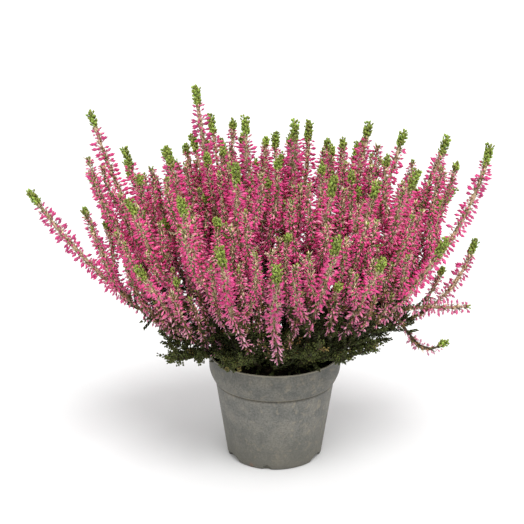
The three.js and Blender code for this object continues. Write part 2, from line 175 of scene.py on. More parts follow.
def plant(shoots):
    """Every shoot takes the free root place nearest to the one it wants, the leafy ones first."""
    places = []
    for k in range(len(shoots)):
        radius = ROOT.disc * math.sqrt((k + 0.5) / len(shoots))
        places.append(np.array([radius * math.cos(k * GOLDEN), radius * math.sin(k * GOLDEN)]))
    for shoot in sorted(shoots, key=lambda s: (not s.leafy, -np.hypot(*s.tip[:2]))):
        reach = np.hypot(*shoot.tip[:2])
        wanted = unit(shoot.tip[:2]) * min(ROOT.disc, reach * (1 if shoot.leafy else ROOT.share))
        taken = min(range(len(places)), key=lambda i: np.linalg.norm(places[i] - wanted))
        place = places.pop(taken)
        shoot.root = np.array([*place, peat_height(np.hypot(*place)) + ROOT.collar])
        shoot.out = np.array([*unit(shoot.tip[:2] - place), 0.0])
        shoot.side = np.array([-shoot.out[1], shoot.out[0], 0.0])


class Axis:
    """A Bezier curve walked by distance, with a sideways sway along one steady side direction."""

    def __init__(self, controls, side, sway=0.0, phase=0.0):
        self.controls = controls
        self.side = side
        self.sway = sway
        self.phase = phase
        self.shares = np.linspace(0, 1, DIVISIONS + 1)
        chords = np.linalg.norm(np.diff(self.bezier(self.shares), axis=0), axis=1)
        self.lengths = np.concatenate([[0], np.cumsum(chords)])
        self.length = self.lengths[-1]
        steps = math.ceil(self.length / TRAIL_STEP)
        self.trail = self.point(TRAIL_STEP * np.arange(steps + 1))

    def bezier(self, share):
        t = np.asarray(share)[..., None]
        a, b, c, d = self.controls
        return (1 - t) ** 3 * a + 3 * (1 - t) ** 2 * t * b + 3 * (1 - t) * t * t * c + t**3 * d

    def point(self, distance):
        share = np.clip(np.asarray(distance, float) / self.length, 0, 1)
        along = self.bezier(np.interp(share * self.length, self.lengths, self.shares))
        swing = self.sway * np.sin(SWAY.turn * share + self.phase) * np.sin(share * math.pi)
        return along + swing[..., None] * self.side

    def frame(self, distance):
        """The heading and two directions across it, for each distance."""
        distance = np.clip(distance, 0, self.length)
        ahead = self.point(np.minimum(distance + NUDGE, self.length))
        heading = unit(ahead - self.point(np.maximum(distance - NUDGE, 0)))
        across = unit(self.side - (heading @ self.side)[..., None] * heading)
        return heading, across, np.cross(heading, across)


def main_axis(shoot, index, bend, lift):
    rise = shoot.tip[2] - shoot.root[2]
    reach = np.hypot(*(shoot.tip - shoot.root)[:2])
    pull = shoot.pull or STEM.pull * math.hypot(reach, rise)
    lean = math.radians(shoot.lean)
    climb = lift + (shoot.rise or max(STEM.over_rim, STEM.climb * rise))
    low = shoot.root + shoot.out * (shoot.bow or STEM.bow) * reach + shoot.side * bend + UP * climb
    high = shoot.tip - shoot.out * pull * math.sin(lean) - UP * pull * math.cos(lean)
    high = high + shoot.side * STEM.high_bend * bend
    return Axis((shoot.root, low, high, shoot.tip), shoot.side, SWAY.size, TURN * scatter(index, 6))


def leaving(axis, at, angle):
    """The heading of an axis at a distance, and the direction that leaves it there at an angle."""
    heading, across, other = axis.frame(at)
    return heading, swung(across, other, angle)


def gap_between(points, others):
    """The distance from each point to the nearest of the others."""
    return np.sqrt(((points[:, None] - others[None]) ** 2).sum(2).min(1))


def bend_clear(shoots):
    """Bends every stem clear of those that stand already."""
    standing = []
    for index, shoot in enumerate(shoots):
        best_room = -1
        for bend, lift in [(bend, lift) for bend in BENDS for lift in LIFTS]:
            axis = main_axis(shoot, index, bend, lift)
            rooms = [gap_between(axis.trail, other.trail).min() for other in standing]
            room = min([STEM_ROOM, *rooms])
            if room > best_room:
                best_room, shoot.axis = room, axis
            if room == STEM_ROOM:
                break
        standing.append(shoot.axis)


def steps_between(start, end, pitch):
    return max(1, math.floor((end - start) / pitch + 0.5))


def whorl_rings(start, end):
    """The tops of the whorls that the solids have between two distances."""
    count = steps_between(start, end, WHORL.pitch)
    return [lerp(start, end, (k + 1) / count) for k in range(count)]


def twig_axis(foot, heading, outward, length, out, foot_out, rise, pull):
    """A twig that leaves outward and then turns up. Everything is in shares of its length."""
    tip = foot + outward * out * length + rise * length
    low = foot + outward * foot_out * length + heading * TWIG_CURVE.foot_up * length
    high = tip - pull * TWIG_CURVE.pull * length
    return Axis((foot, low, high, tip), unit(np.cross(outward, heading)))


def solid_twig(shoot, ring_at, ring_index, face, index):
    """The side twig of the solids that leaves one of the six faces of a whorl."""
    heading, outward = leaving(shoot.axis, ring_at, SIXTH * (ring_index + 1 + face))
    below = WHORL.height * (2 / 3 if face % 2 == 0 else 1 / 3)
    length = lerp(TWIG.shortest, TWIG.longest, scatter(index, 7))
    foot = shoot.axis.point(ring_at - below) + outward * STEM_RADIUS / 2
    shape = TWIG_CURVE
    rise = lerp(heading, UP, shape.tip_up) * shape.along
    pull = lerp(heading, UP, shape.pull_up)
    return twig_axis(foot, heading, outward, length, shape.out, shape.foot_out, rise, pull)


def twig_room(twig, shoot, axes):
    """How far a twig stays from the other axes, with slack for its own stem near the fork."""
    slack = np.maximum(0, FORK_ROOM - TRAIL_STEP * np.arange(len(twig.trail)))
    own = gap_between(twig.trail, shoot.axis.trail) + slack
    others = np.concatenate([axis.trail for axis in axes if axis is not shoot.axis])
    return min(own.min(), gap_between(twig.trail, others).min())


def flower_zone(shoot):
    """Where the flowers of a main stem start and end."""
    end = shoot.axis.length - TIP_LENGTH
    return end - FLOWER_SHARE * shoot.axis.length, end


def twig_bearers(shoots):
    return [shoot for shoot in shoots if not shoot.leafy and shoot.lean < SPRAWLING]


def add_solid_twigs(shoots):
    """The twigs of the solids, each where it has most room. Returns the axes of everything."""
    axes = [shoot.axis for shoot in shoots]
    bearers = sorted(twig_bearers(shoots), key=lambda shoot: -shoot.axis.length)
    for index, shoot in enumerate(bearers[: TWIG.count]):
        start, end = flower_zone(shoot)
        tiers = steps_between(BARE_SHARE * shoot.axis.length, start, TIER_PITCH)
        rings = whorl_rings(start, end)
        best_room = 0
        for k in range(TWIG.first_whorl, min(TWIG.last_whorl + 1, len(rings))):
            for face in range(6):
                twig = solid_twig(shoot, rings[k], tiers + 2 * (k + 1), face, index)
                room = twig_room(twig, shoot, axes)
                if room > best_room:
                    best_room, best = room, twig
        shoot.twigs.append(best)
        axes.append(best)
    return axes


# ---- finer twigs
# More flowering side twigs than the solids have, each placed where it has room.
EXTRA = Values(
    rounds=7, tries=16, room=4.8, first=0.2, last=0.68, out=(0.18, 0.4), along=0.86, foot_out=0.7,
    share=(0.5, 0.98), shortest=34, longest=120, under_tip=4, tip_up=0.5,
)
# Where they may go: half the plant's width at some heights, the X of its middle plane, and its
# depth as a share of its width.
OUTLINE = Values(
    heights=(88, 102, 125, 150, 175, 232), widths=(66, 88, 112, 129, 140, 168), middle=-6, depth=0.68
)


def inside_outline(points):
    wide = np.interp(points[:, 2], OUTLINE.heights, OUTLINE.widths)
    return np.hypot(points[:, 0] - OUTLINE.middle, points[:, 1] / OUTLINE.depth) < wide


def extra_twig(shoot, rng):
    """A twig that leaves the lower part of a main stem at random and turns up beside it."""
    start = shoot.axis.length * rng.uniform(EXTRA.first, EXTRA.last)
    heading, outward = leaving(shoot.axis, start, rng.uniform(0, TURN))
    length = np.clip(
        rng.uniform(*EXTRA.share) * (shoot.axis.length - start), EXTRA.shortest, EXTRA.longest
    )
    out = rng.uniform(*EXTRA.out)
    rise = unit(lerp(heading, UP, EXTRA.tip_up)) * EXTRA.along
    pull = unit(lerp(heading, UP, TWIG_CURVE.pull_up))
    foot = shoot.axis.point(start)
    return twig_axis(foot, heading, outward, length, out, EXTRA.foot_out * out, rise, pull)


def add_extra_twigs(shoots, axes):
    """Every flowering shoot in turn takes the twig with the most room out of a few tries."""
    rng = np.random.default_rng(SEED)
    for shoot in twig_bearers(shoots) * EXTRA.rounds:
        best_room = EXTRA.room
        best = None
        for _ in range(EXTRA.tries):
            twig = extra_twig(shoot, rng)
            low_enough = twig.trail[-1][2] < shoot.tip[2] - EXTRA.under_tip
            if not low_enough or not inside_outline(twig.trail).all():
                continue
            room = twig_room(twig, shoot, axes)
            if room > best_room:
                best_room, best = room, twig
        if best:
            shoot.twigs.append(best)
            axes.append(best)


# ---- gathered meshes
class Skin:
    """Triangles gathered for one piece. Each vertex has its paint: along, tone and age."""

    def __init__(self):
        self.points = []
        self.faces = []
        self.paint = []
        self.count = 0

    def add(self, points, faces, paint):
        self.points.append(points)
        self.faces.append(faces + self.count)
        self.paint.append(paint)
        self.count += len(points)

    def copies(self, template, places, frames, sizes, tone, age):
        """A copy of a template at each place. The rows of its frame are the copy's own axes."""
        count, size = len(places), len(template.points)
        shaped = template.points[None] * sizes[:, None]
        points = places[:, None] + np.einsum("nvk,nkj->nvj", shaped, frames)
        faces = template.faces[None] + size * np.arange(count)[:, None, None]
        paint = np.stack(
            [np.tile(template.points[:, 0], count), np.repeat(tone, size), np.repeat(age, size)], axis=1
        )
        self.add(points.reshape(-1, 3), faces.reshape(-1, 3), paint)

    def tube(self, axis, distances, radii, sides, tone, age):
        """A closed tube along an axis. Distances below 0 run plumb down from its foot."""
        centres = axis.point(distances) + UP * np.minimum(distances, 0)[:, None]
        _, across, other = axis.frame(distances)
        angles = ring_angles(sides)
        rings = swung(across[:, None], other[:, None], angles[:, None]) * radii[:, None, None]
        points = np.concatenate([(centres[:, None] + rings).reshape(-1, 3), centres[[0, -1]]])
        share = np.linspace(0, 1, len(distances))
        paint = np.stack(
            [np.repeat(share, sides), np.full(len(share) * sides, tone), np.repeat(age, sides)], axis=1
        )
        ends = np.array([[0, tone, age[0]], [1, tone, age[-1]]])
        self.add(points, tube_faces(len(distances), sides), np.concatenate([paint, ends]))


def tube_faces(rings, sides):
    here = np.arange(sides)
    after = (here + 1) % sides
    faces = []
    for ring in range(rings - 1):
        low, high = ring * sides, (ring + 1) * sides
        faces.append(np.stack([low + here, low + after, high + after], axis=1))
        faces.append(np.stack([low + here, high + after, high + here], axis=1))
    start, end = rings * sides, rings * sides + 1
    last = (rings - 1) * sides
    faces.append(np.stack([after, here, np.full(sides, start)], axis=1))
    faces.append(np.stack([last + here, last + after, np.full(sides, end)], axis=1))
    return np.concatenate(faces)


def spindle(stations, sides):
    """A closed spindle of unit length along X, from (place, radius) rings between its two ends."""
    angles = ring_angles(sides)
    rings = [
        np.stack([np.full(sides, place), radius * np.cos(angles), radius * np.sin(angles)], axis=1)
        for place, radius in stations
    ]
    points = np.concatenate([*rings, [[0, 0, 0], [1, 0, 0]]])
    faces = tube_faces(len(stations), sides)
    return Values(points=points, faces=faces)


# A bud with its stalk: a thin foot, and widest past its middle. Those of the twigs are plainer.
BUD = spindle(((0.32, 0.4), (0.68, 1.0)), 4)
SMALL_BUD = spindle(((0.64, 1.0),), 4)
LEAF = spindle(((0.6, 1.0),), 3)
CRUMB = spindle(((0.25, 0.8), (0.7, 0.9)), 4)
# A spike of four triangles, for narrow leaves and the stems of cords: its foot is three-sided.
SPIKE = Values(
    points=np.array([[0, 0, 1], [0, 0.87, -0.5], [0, -0.87, -0.5], [1, 0, 0]]),
    faces=np.array([[0, 2, 1], [0, 1, 3], [1, 2, 3], [2, 0, 3]]),
)


def frames_along(direction, near):
    """Frames whose first row is the direction and whose third leans towards near."""
    across = unit(np.cross(near, direction))
    return np.stack([direction, across, np.cross(direction, across)], axis=1)


def around(axis, at, angle):
    """Points on an axis, its headings there, and the outward directions at these angles."""
    heading, across, other = axis.frame(at)
    return axis.point(at), heading, swung(across, other, angle[:, None])


def sloping(heading, outward, style, rng):
    """Directions that lean out from their headings, each a little differently."""
    slope = style.slope + rng.normal(0, style.slope_spread, len(heading))[:, None]
    return swung(heading, outward, slope)


# ---- flowers and leaves
# Buds in whorls. Some are missing, in clumps. They nod low on a stem and stand out further up, and
# the old ones are smaller and sparser.
BLOOM = Values(
    wander=0.55, missing=(0.02, 0.34), clump=2.6, turn_spread=0.3, low_slope=112, high_slope=80,
    slope_spread=11, droop=0.3, foot=1.0, length=6.3, radius=1.0, spread=0.15, smallest=0.72, growing=8,
    old_length=0.7, old_radius=0.66, old_missing=0.3,
)
# How low the flowers of a shoot reach, and where that comes down to the rim: at the left and in front.
LOWEST = Values(height=(118, 144), rim=104, left=50, left_run=50, front=90, front_run=40)
MAIN_WHORL = Values(form=BUD, count=9, pitch=3.7, bulk=1.06)
TWIG_WHORL = Values(form=SMALL_BUD, count=9, pitch=2.8, bulk=0.77)
SPRIG_WHORL = Values(form=SMALL_BUD, count=5, pitch=3.2, bulk=0.78)
BRACT = Values(
    per_bud=1.0, wander=2, foot=1.1, length=3.7, width=1.15, thickness=0.7, slope=0.6, slope_spread=0.3,
    spread=(0.7, 1.3), age=(0.38, 0.56), age_spread=0.07,
)
SCALE_LEAF = Values(length=2.4, width=1.05, thickness=0.6, slope=0.3, slope_spread=0.08)
# The heights between which flowers and stems turn from old to young. Out from the middle they are younger.
AGE = Values(low=124, high=186, from_middle=80, out=0.5, spread=0.12)
# How freely a place stands in the light: high up, or far out from the dense middle of the plant.
OPEN = Values(height=215, high=60, out=112, wide=55)

# Short cords of scale leaves. Each style has the form and size of its leaves, how far a cord leans
# from its stem in radians, its tone low down and high up, from 0 for dark to 1 for light green, how
# much in the open it still grows, how far apart its cords are, and their length.
CORD = Values(
    gap=1.35, stem=0.42, first=1.0, up=0.2, steepest=-0.25, bend=0.1, radius=0.5, turn_spread=0.3,
    tint_spread=0.08, last_leaf=0.8, tilt=0.01,
)
UNDER = Values(
    form=SPIKE, leaf=1.5, slope=0.85, slope_spread=0.25, age=(0.1, 0.36), open=0.15, pitch=3.3, length=15
)
FADING = Values(**{**vars(UNDER), "pitch": 7, "length": 9})
TUFT = Values(
    form=SPIKE, leaf=1.1, slope=0.85, slope_spread=0.25, age=(0.2, 0.65), open=0.3, pitch=24, length=7
)
RIM = Values(form=LEAF, leaf=1.3, slope=0.6, slope_spread=0.2, age=(0.14, 0.3), open=1, pitch=1.9, length=7)
EAR = Values(form=LEAF, leaf=1.7, slope=0.5, slope_spread=0.06, age=(0.9, 0.9))


def age_at(points, rng, spread=AGE.spread):
    """0 for the oldest parts, low down in the middle, and 1 for the youngest."""
    beyond = np.maximum(0, np.hypot(points[:, 0], points[:, 1]) - AGE.from_middle)
    share = (points[:, 2] + AGE.out * beyond - AGE.low) / (AGE.high - AGE.low)
    return np.clip(share + rng.normal(0, spread, len(points)), 0, 1)


def openness(points):
    """0 in the dense middle of the plant and 1 where a place stands free."""
    high = (points[:, 2] - OPEN.height) / OPEN.high
    out = (np.hypot(points[:, 0], points[:, 1] / OUTLINE.depth) - OPEN.out) / OPEN.wide
    return np.clip(np.maximum(high, out), 0, 1)


def tone_with_painted_light(points, rng):
    """A random tone with painted light: lighter in the dense middle of the plant, against the shade there,
    than where it stands in the open.
    """
    return (rng.random(len(points)) + 1 - openness(points)) / 2


def flower_places(axis, start, end, whorl, rng):
    """Each bud's share of the way from start to end, its age, and its angle round the axis."""
    whorls = max(2, round((end - start) / whorl.pitch))
    share = np.repeat(np.linspace(0, 1, whorls), whorl.count)
    step = np.repeat(np.arange(whorls), whorl.count)
    angle = GOLDEN * step + TURN * np.tile(np.arange(whorl.count), whorls) / whorl.count
    thin = lerp(*BLOOM.missing, np.sin(BLOOM.clump * step / TURN + rng.uniform(0, TURN)) ** 2)
    middle = axis.point(lerp(start, end, share))
    age = age_at(middle, rng)
    kept = rng.random(len(share)) > thin + BLOOM.old_missing * (1 - age) * (1 - openness(middle))
    return share[kept], age[kept], angle[kept] + rng.normal(0, BLOOM.turn_spread, kept.sum())


def add_flowers(parts, axis, start, end, whorl, rng):
    """Whorls of closed buds on short stalks, and small dry leaves between them."""
    share, age, angle = flower_places(axis, start, end, whorl, rng)
    count = len(share)
    at = lerp(start, end, share) + rng.normal(0, BLOOM.wander, count)
    middle, heading, outward = around(axis, at, angle)
    lean = lerp(BLOOM.low_slope, BLOOM.high_slope, share) + rng.normal(0, BLOOM.slope_spread, count)
    slope = np.radians(lean)[:, None]
    droop = UP * (BLOOM.droop * (1 - share))[:, None]
    direction = unit(swung(heading, outward, slope) - droop)
    size = whorl.bulk * np.clip((end - at) / BLOOM.growing, BLOOM.smallest, 1)
    size = size * rng.normal(1, BLOOM.spread, count)
    long = BLOOM.length * size * lerp(BLOOM.old_length, 1, age)
    thick = BLOOM.radius * size * lerp(BLOOM.old_radius, 1, age)
    sizes = np.stack([long, thick, thick], axis=1)
    place, frames = middle + outward * BLOOM.foot, frames_along(direction, heading)
    parts.buds.copies(whorl.form, place, frames, sizes, tone_with_painted_light(middle, rng), age)
    add_bracts(parts, axis, rng.choice(at, round(BRACT.per_bud * count)), rng)


def add_bracts(parts, axis, at, rng):
    """Small dry leaves that clothe a stem between its flowers."""
    count = len(at)
    at = at + rng.uniform(-BRACT.wander, BRACT.wander, count)
    middle, heading, outward = around(axis, at, rng.uniform(0, TURN, count))
    direction = sloping(heading, outward, BRACT, rng)
    sizes = rng.uniform(*BRACT.spread, count)[:, None] * [[BRACT.length, BRACT.width, BRACT.thickness]]
    tint = lerp(*BRACT.age, age_at(middle, rng)) + rng.normal(0, BRACT.age_spread, count)
    place, frames = middle + outward * BRACT.foot, frames_along(direction, outward)
    parts.leaves.copies(SPIKE, place, frames, sizes, rng.random(count), np.clip(tint, 0, 1))


def add_leaf_pairs(skin, form, spots, rng):
    """Pairs of scale leaves on opposite sides of a thin stem, at every spot."""
    count = len(spots.points)
    across = unit(np.cross(spots.near, spots.heading))
    other = np.cross(spots.heading, across)
    for half in (0, math.pi):
        outward = swung(across, other, (spots.turn + half)[:, None])
        direction = sloping(spots.heading, outward, SCALE_LEAF, rng)
        sizes = spots.size[:, None] * [[SCALE_LEAF.length, SCALE_LEAF.width, SCALE_LEAF.thickness]]
        place = spots.points + outward * spots.stem[:, None]
        skin.copies(form, place, frames_along(direction, outward), sizes, rng.random(count), spots.age)


def add_cords(parts, axis, at, lengths, style, rng):
    """Short cords of scale leaves in a spiral round an axis, all with the same number of leaves."""
    count = len(at)
    stations = max(2, round(lengths.mean() / (CORD.gap * style.leaf)))
    angle = GOLDEN * np.arange(count) + rng.normal(0, CORD.turn_spread, count)
    middle, heading, outward = around(axis, at, angle)
    direction = sloping(heading, outward, style, rng) + UP * CORD.up
    direction[:, 2] = np.maximum(direction[:, 2], CORD.steepest)
    direction = unit(direction)
    run = CORD.first + (lengths[:, None] - CORD.first) * np.linspace(0, 1, stations)
    points = middle[:, None] + direction[:, None] * run[..., None]
    points = points + UP * (CORD.bend * run**2 / lengths[:, None])[..., None]
    age = age_at(middle, rng)
    tint = np.clip(lerp(*style.age, age) + rng.normal(0, CORD.tint_spread, count), 0, 1)
    spots = Values(
        points=points.reshape(-1, 3),
        heading=np.repeat(direction, stations, axis=0),
        near=np.repeat(outward, stations, axis=0) + CORD.tilt * UP,
        turn=np.tile(np.arange(stations) * math.pi / 2, count) + np.repeat(angle, stations),
        stem=np.full(count * stations, CORD.stem * style.leaf),
        size=np.tile(style.leaf * np.linspace(1, CORD.last_leaf, stations), count),
        age=np.repeat(tint, stations),
    )
    add_leaf_pairs(parts.leaves, style.form, spots, rng)
    thin = np.full(count, CORD.radius * style.leaf)
    sizes = np.stack([lengths, thin, thin], axis=1)
    parts.stems.copies(SPIKE, middle, frames_along(direction, heading), sizes, rng.random(count), age)


# The light green tips of main stems and twigs: those of most twigs in the dense middle are small.
CLUB = Values(
    main=17, twig=10, small=4, share=0.03, open=0.75, spread=0.2, pitch=1.8, size=(1.2, 1.3), stem=(0.8, 0.6),
    tint=(0.74, 0.9), ears_from=0.04, ears_end=4.5, ear_pitch=0.7, ear_length=(0.22, 0.36), widening=0.6,
    ear_spread=0.06, overlap=2,
)


def add_club(parts, axis, mean_length, rng):
    """The light green tip: leaf pairs up the stem, and short leafy ears that widen it to its top."""
    length = mean_length * rng.uniform(1 - CLUB.spread, 1 + CLUB.spread)
    foot = axis.length - length
    at = np.arange(foot, axis.length, CLUB.pitch)
    share = (at - foot) / length
    heading, across, _ = axis.frame(at)
    spots = Values(
        points=axis.point(at), heading=heading, near=across, turn=np.arange(len(at)) * math.pi / 2,
        stem=lerp(*CLUB.stem, share), size=lerp(*CLUB.size, share), age=lerp(*CLUB.tint, share),
    )
    add_leaf_pairs(parts.leaves, LEAF, spots, rng)
    if mean_length == CLUB.small:
        return
    at = np.arange(foot + CLUB.ears_from * length, axis.length - CLUB.ears_end, CLUB.ear_pitch)
    wide = CLUB.twig * (mean_length / CLUB.twig) ** CLUB.widening
    lengths = wide * lerp(*CLUB.ear_length, (at - foot) / length)
    lengths = lengths * rng.uniform(1 - CLUB.ear_spread, 1 + CLUB.ear_spread, len(at))
    add_cords(parts, axis, at, lengths, EAR, rng)


# ---- shoots
STEM_LOOK = Values(step=3, fewest=4, sides=4, knobs=0.2, taper=16, tip=0.4, age_spread=0.02)
MAIN_STEM = Values(root=6, foot=1.5, top=1.4)
SIDE_STEM = Values(root=0, foot=0.9, top=1.15)
LEAFAGE = Values(start=2, end=3, spread=0.3, twig_bare=5, twig_share=0.16, twig_most=0.6, fade=36)
SPRIG = Values(
    pitch=(30, 12), start=14, shortest=12, longest=22, out=0.75, rise=0.3, droop=0.45, bare=3, under=12,
)
SPRAY = Values(count=5, first=0.3, last=0.85, turn=0.7, shortest=20, longest=32, up=0.1, pulls=(0.3, 0.7))


def add_stem(parts, axis, size, rng):
    """A stem with knobs, which thins near its end. Its root goes down into the peat."""
    look = STEM_LOOK
    steps = max(look.fewest, round((axis.length + size.root) / look.step))
    at = np.linspace(-size.root, axis.length, steps)
    share = np.clip(at / axis.length, 0, 1)
    taper = np.clip((axis.length - at) / look.taper, look.tip, 1)
    radii = lerp(size.foot, size.top, share) * taper * rng.normal(1, look.knobs, steps)
    age = age_at(axis.point(at), rng, look.age_spread)
    parts.stems.tube(axis, at, radii, look.sides, rng.random(), age)


def add_leafage(parts, axis, start, end, style, rng):
    """Cords of leaves along a stretch of an axis."""
    at = np.arange(start, end, style.pitch)
    at = at[openness(axis.point(at)) <= style.open]
    if len(at):
        lengths = style.length * rng.uniform(1 - LEAFAGE.spread, 1 + LEAFAGE.spread, len(at))
        add_cords(parts, axis, at, lengths, style, rng)


def sprig_axis(axis, at, rng):
    """A short side shoot that arches out and hangs."""
    _, outward = leaving(axis, at, rng.uniform(0, TURN))
    length = rng.uniform(SPRIG.shortest, SPRIG.longest)
    foot = axis.point(at)
    tip = foot + (outward * SPRIG.out - UP * SPRIG.droop) * length
    low = foot + (outward * SPRIG.out / 3 + UP * SPRIG.rise) * length
    high = foot + (outward * SPRIG.out + UP * SPRIG.rise / 2) * length
    return Axis((foot, low, high, tip), unit(np.cross(outward, UP)))


def add_sprigs(parts, axis, end, lowest, pitch, rng):
    """Flowering side shoots without a green tip, low on a main stem and inside the outline."""
    for at in np.arange(SPRIG.start, end, pitch):
        sprig = sprig_axis(axis, at + rng.uniform(0, pitch), rng)
        high_enough = sprig.trail[-1][2] > max(LOWEST.rim, lowest - SPRIG.under)
        if high_enough and inside_outline(sprig.trail).all():
            add_stem(parts, sprig, SIDE_STEM, rng)
            add_flowers(parts, sprig, SPRIG.bare, sprig.length, SPRIG_WHORL, rng)


def low_share(shoot):
    """From 0 for a shoot whose flowers stop well above the rim to 1 for one that flowers down to it."""
    left = (-shoot.tip[0] - LOWEST.left) / LOWEST.left_run
    front = (-shoot.tip[1] - LOWEST.front) / LOWEST.front_run
    return np.clip(max(left, front), 0, 1)


def first_above(axis, start, height):
    """The first distance past a start where an axis is above a height, or its end."""
    at = np.arange(start, axis.length)
    above = at[axis.point(at)[:, 2] > height]
    return above[0] if len(above) else axis.length


def add_column(parts, axis, start, end, lowest, whorl, rng):
    """The flowers of a stem, with leafage that fades out among the lowest and a few tufts above."""
    add_flowers(parts, axis, start, end, whorl, rng)
    fade = min(first_above(axis, start, lowest + LEAFAGE.fade), end)
    add_leafage(parts, axis, start, fade, FADING, rng)
    add_leafage(parts, axis, fade, end, TUFT, rng)


def dress_main(shoot, parts, low, lowest, rng):
    axis = shoot.axis
    start = min(flower_zone(shoot)[0], first_above(axis, LEAFAGE.start, lowest))
    club = shoot.club or CLUB.main
    add_stem(parts, axis, MAIN_STEM, rng)
    add_leafage(parts, axis, LEAFAGE.start, start, UNDER, rng)
    add_sprigs(parts, axis, start, lowest, lerp(*SPRIG.pitch, low), rng)
    add_column(parts, axis, start, axis.length - club + CLUB.overlap, lowest, MAIN_WHORL, rng)
    add_club(parts, axis, club, rng)


def dress_twig(twig, first, parts, lowest, rng):
    """A side twig. The first of each shoot and those in the open have a full green tip."""
    look = LEAFAGE
    free = openness(twig.trail[-1:])[0] > CLUB.open
    club = CLUB.twig if first or free or rng.random() < CLUB.share else CLUB.small
    bare = first_above(twig, max(look.twig_bare, look.twig_share * twig.length), lowest)
    bare = min(bare, look.twig_most * twig.length)
    add_stem(parts, twig, SIDE_STEM, rng)
    leafy = min(bare, first_above(twig, look.end, lowest + look.fade))
    add_leafage(parts, twig, look.end, leafy, UNDER, rng)
    add_column(parts, twig, bare, twig.length - club + CLUB.overlap, lowest, TWIG_WHORL, rng)
    add_club(parts, twig, club, rng)


def dress_flowering(shoot, parts, rng):
    low = low_share(shoot)
    lowest = lerp(rng.uniform(*LOWEST.height), LOWEST.rim, low)
    dress_main(shoot, parts, low, lowest, rng)
    for index, twig in enumerate(shoot.twigs):
        dress_twig(twig, index == 0, parts, lowest, rng)


def spray_axis(shoot, index, rng):
    """A side shoot that fans out from a leafy shoot, to its left and right in turn."""
    start = shoot.axis.length * rng.uniform(SPRAY.first, SPRAY.last)
    heading, across, _ = shoot.axis.frame(start)
    length = rng.uniform(SPRAY.shortest, SPRAY.longest)
    direction = unit(swung(heading, across, SPRAY.turn * (-1) ** index) + UP * SPRAY.up)
    foot = shoot.axis.point(start)
    tip = foot + direction * length + UP * SPRAY.up * length
    near, far = SPRAY.pulls
    return Axis((foot, lerp(foot, tip, near), foot + direction * length * far, tip), across)


def dress_leafy(shoot, parts, rng):
    add_stem(parts, shoot.axis, MAIN_STEM, rng)
    add_leafage(parts, shoot.axis, LEAFY.bare, shoot.axis.length - LEAFAGE.end, RIM, rng)
    for index in range(SPRAY.count):
        axis = spray_axis(shoot, index, rng)
        add_stem(parts, axis, SIDE_STEM, rng)
        add_leafage(parts, axis, LEAFAGE.end, axis.length - LEAFAGE.end, RIM, rng)


def make_mesh(name, skin):
    """An object in metres from gathered triangles."""
    points = np.concatenate(skin.points) * MM
    faces = np.concatenate(skin.faces)
    mesh = bpy.data.meshes.new(name)
    mesh.vertices.add(len(points))
    mesh.vertices.foreach_set("co", points.ravel())
    mesh.loops.add(faces.size)
    mesh.loops.foreach_set("vertex_index", faces.ravel())
    mesh.polygons.add(len(faces))
    mesh.polygons.foreach_set("loop_start", 3 * np.arange(len(faces)))
    mesh.polygons.foreach_set("use_smooth", np.ones(len(faces), bool))
    mesh.update(calc_edges=True)
    paint = mesh.attributes.new("paint", "FLOAT_VECTOR", "POINT")
    paint.data.foreach_set("vector", np.concatenate(skin.paint).ravel())
    made = bpy.data.objects.new(name, mesh)
    bpy.context.scene.collection.objects.link(made)
    return made


def declare(piece, material, slot, node):
    piece.data.materials.clear()
    piece.data.materials.append(material)
    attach(piece, "root")
    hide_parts(node)


# ---- materials
class Graph:
    """A Principled material and a short way to wire what feeds it."""

    def __init__(self, name, roughness, specular):
        self.material = bpy.data.materials.new(name)
        self.material.use_nodes = True
        self.tree = self.material.node_tree
        self.shader = self.tree.nodes["Principled BSDF"]
        self.shader.inputs["Roughness"].default_value = roughness
        self.shader.inputs["Specular IOR Level"].default_value = specular

    def node(self, kind, inputs=None, **settings):
        """A node with these settings, whose inputs are numbers or the outputs of other nodes."""
        made = self.tree.nodes.new(kind)
        for key, value in settings.items():
            setattr(made, key, value)
        for key, value in (inputs or {}).items():
            if isinstance(value, bpy.types.NodeSocket):
                self.tree.links.new(value, made.inputs[key])
            else:
                made.inputs[key].default_value = value
        return made

    def paint(self):
        """The painted values of the mesh: along, tone and age."""
        attribute = self.node("ShaderNodeAttribute", attribute_name="paint")
        split = self.node("ShaderNodeSeparateXYZ", {0: attribute.outputs["Vector"]})
        return split.outputs[0], split.outputs[1], split.outputs[2]

    def ramp(self, factor, stops):
        made = self.node("ShaderNodeValToRGB", {0: factor})
        elements = made.color_ramp.elements
        while len(elements) < len(stops):
            elements.new(1.0)
        for element, (place, colour) in zip(elements, stops):
            element.position = place
            element.color = (*colour, 1.0)
        return made.outputs[0]

    def mix(self, factor, low, high, blend="MIX"):
        """A mix of two colours, which are the node's inputs 6 and 7 and its output 2."""
        inputs = {0: factor, 6: low, 7: high}
        return self.node("ShaderNodeMix", inputs, data_type="RGBA", blend_type=blend).outputs[2]

    def place(self):
        return self.node("ShaderNodeTexCoord").outputs["Object"]

    def noise(self, scale, detail=3.0):
        inputs = {"Vector": self.place(), "Scale": scale, "Detail": detail}
        return self.node("ShaderNodeTexNoise", inputs).outputs[0]

    def rescale(self, value, low, high, start=0.0, end=1.0):
        """From low to high as a value goes from start to end."""
        inputs = {0: value, 1: start, 2: end, 3: low, 4: high}
        return self.node("ShaderNodeMapRange", inputs).outputs[0]

    def shift(self, colour, hue, value):
        inputs = {"Color": colour, "Hue": hue, "Value": value}
        return self.node("ShaderNodeHueSaturation", inputs).outputs[0]

    def bump(self, height, strength, distance):
        inputs = {"Strength": strength, "Distance": distance, "Height": height}
        self.feed("Normal", self.node("ShaderNodeBump", inputs).outputs[0])

    def feed(self, name, output):
        self.tree.links.new(output, self.shader.inputs[name])


